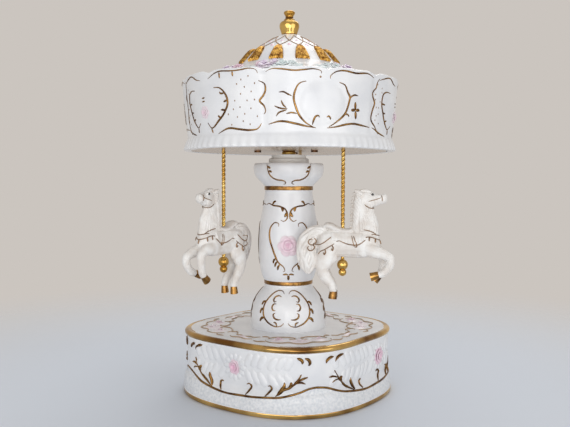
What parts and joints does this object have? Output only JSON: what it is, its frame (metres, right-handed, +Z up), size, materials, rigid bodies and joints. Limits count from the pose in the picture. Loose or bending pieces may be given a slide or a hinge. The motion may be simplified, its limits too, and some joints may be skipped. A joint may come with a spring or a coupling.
{
  "type": "carousel music box",
  "caption": "Wind-up porcelain carousel music box: horses on poles hang from a domed canopy that turns on a column.",
  "frame": {"origin": "on the table, under the centre of the base, where the turning axis meets the foot plane", "axes": "+Z up along the turning axis; -Y towards the front of the picture; +X to its right"},
  "size_m": [0.1638, 0.1676, 0.2891],
  "materials": {
    "porcelain": "white glazed porcelain with gilt lines and painted flowers",
    "bisque": "ivory bisque porcelain with gilt harness",
    "brass": "polished brass plating",
    "white_plastic": "white moulded plastic",
    "steel": "zinc plated steel",
    "spring_steel": "blued spring steel",
    "zinc_casting": "die-cast zinc",
    "fibre_board": "pressed fibre board",
    "soft_wood": "plain planed wood",
    "movement_brass": "machined brass",
    "dark_plastic": "dark moulded plastic"
  },
  "bodies": {
    "base": {"base_shell": "porcelain", "column_foot": "porcelain", "column_vase": "porcelain", "column_capital": "porcelain", "column_tube": "steel", "tube_washers": "steel", "tube_nuts": "steel", "lower_bush": "movement_brass", "upper_bush": "movement_brass", "bottom_board": "fibre_board", "corner_blocks": "soft_wood", "board_screws": "steel", "bedplate": "zinc_casting", "movement_screws": "steel", "comb": "steel", "comb_screws": "steel", "governor_bracket": "steel", "governor_screw": "steel", "clutch_spring": "spring_steel"},
    "carousel": {"drive_shaft": "steel", "spring_barrel": "movement_brass", "barrel_lid": "movement_brass", "mainspring": "spring_steel", "turntable_hub": "white_plastic", "hub_collar": "brass", "canopy_floor": "white_plastic", "support_plate": "steel", "plate_screws": "steel", "canopy_shell": "porcelain", "finial": "brass", "pole_left": "brass", "pole_right": "brass", "pole_rear": "brass", "pole_nuts": "steel", "pole_balls": "brass"},
    "horse_left": {"horse_left": "bisque"},
    "horse_right": {"horse_right": "bisque"},
    "horse_rear": {"horse_rear": "bisque"},
    "key": {"winding_key": "brass", "winding_arbor": "steel"},
    "tune_drum": {"pin_cylinder": "movement_brass", "cylinder_arbor": "steel", "cylinder_pinion": "movement_brass", "cylinder_wheel": "movement_brass"},
    "train": {"train_wheel": "movement_brass"},
    "governor": {"governor_worm": "steel", "governor_fan": "dark_plastic"}
  },
  "joints": [
    {"name": "carousel_spin", "type": "hinge", "parent": "base", "child": "carousel", "pos_m": [0, 0, 0], "axis": [0, 0, 1], "continuous": true},
    {"name": "left_horse_swivel", "type": "hinge", "parent": "carousel", "child": "horse_left", "pos_m": [-0.04855, -0.01719, 0.115], "axis": [0, 0, 1], "range_deg": [-5, 105]},
    {"name": "right_horse_swivel", "type": "hinge", "parent": "carousel", "child": "horse_right", "pos_m": [0.03916, -0.03345, 0.115], "axis": [0, 0, 1], "range_deg": [-5, 105]},
    {"name": "rear_horse_swivel", "type": "hinge", "parent": "carousel", "child": "horse_rear", "pos_m": [0.00938, 0.05064, 0.115], "axis": [0, 0, 1], "range_deg": [-5, 105]},
    {"name": "key_wind", "type": "hinge", "parent": "base", "child": "key", "pos_m": [0, 0, 0], "axis": [0, 0, 1], "range_deg": [0, 2880]},
    {"name": "tune_drum_spin", "type": "hinge", "parent": "base", "child": "tune_drum", "pos_m": [0, 0, 0.0302], "axis": [1, 0, 0], "continuous": true},
    {"name": "train_spin", "type": "hinge", "parent": "base", "child": "train", "pos_m": [0, -0.008, 0.0302], "axis": [1, 0, 0], "continuous": true},
    {"name": "governor_spin", "type": "hinge", "parent": "base", "child": "governor", "pos_m": [0.0466, -0.0131, 0.0302], "axis": [0, 0, 1], "continuous": true}
  ],
  "couplings": [
    {"joint": "tune_drum_spin", "follows": "carousel_spin", "ratio": -2.5},
    {"joint": "train_spin", "follows": "carousel_spin", "ratio": 7.5},
    {"joint": "governor_spin", "follows": "carousel_spin", "ratio": 150}
  ]
}
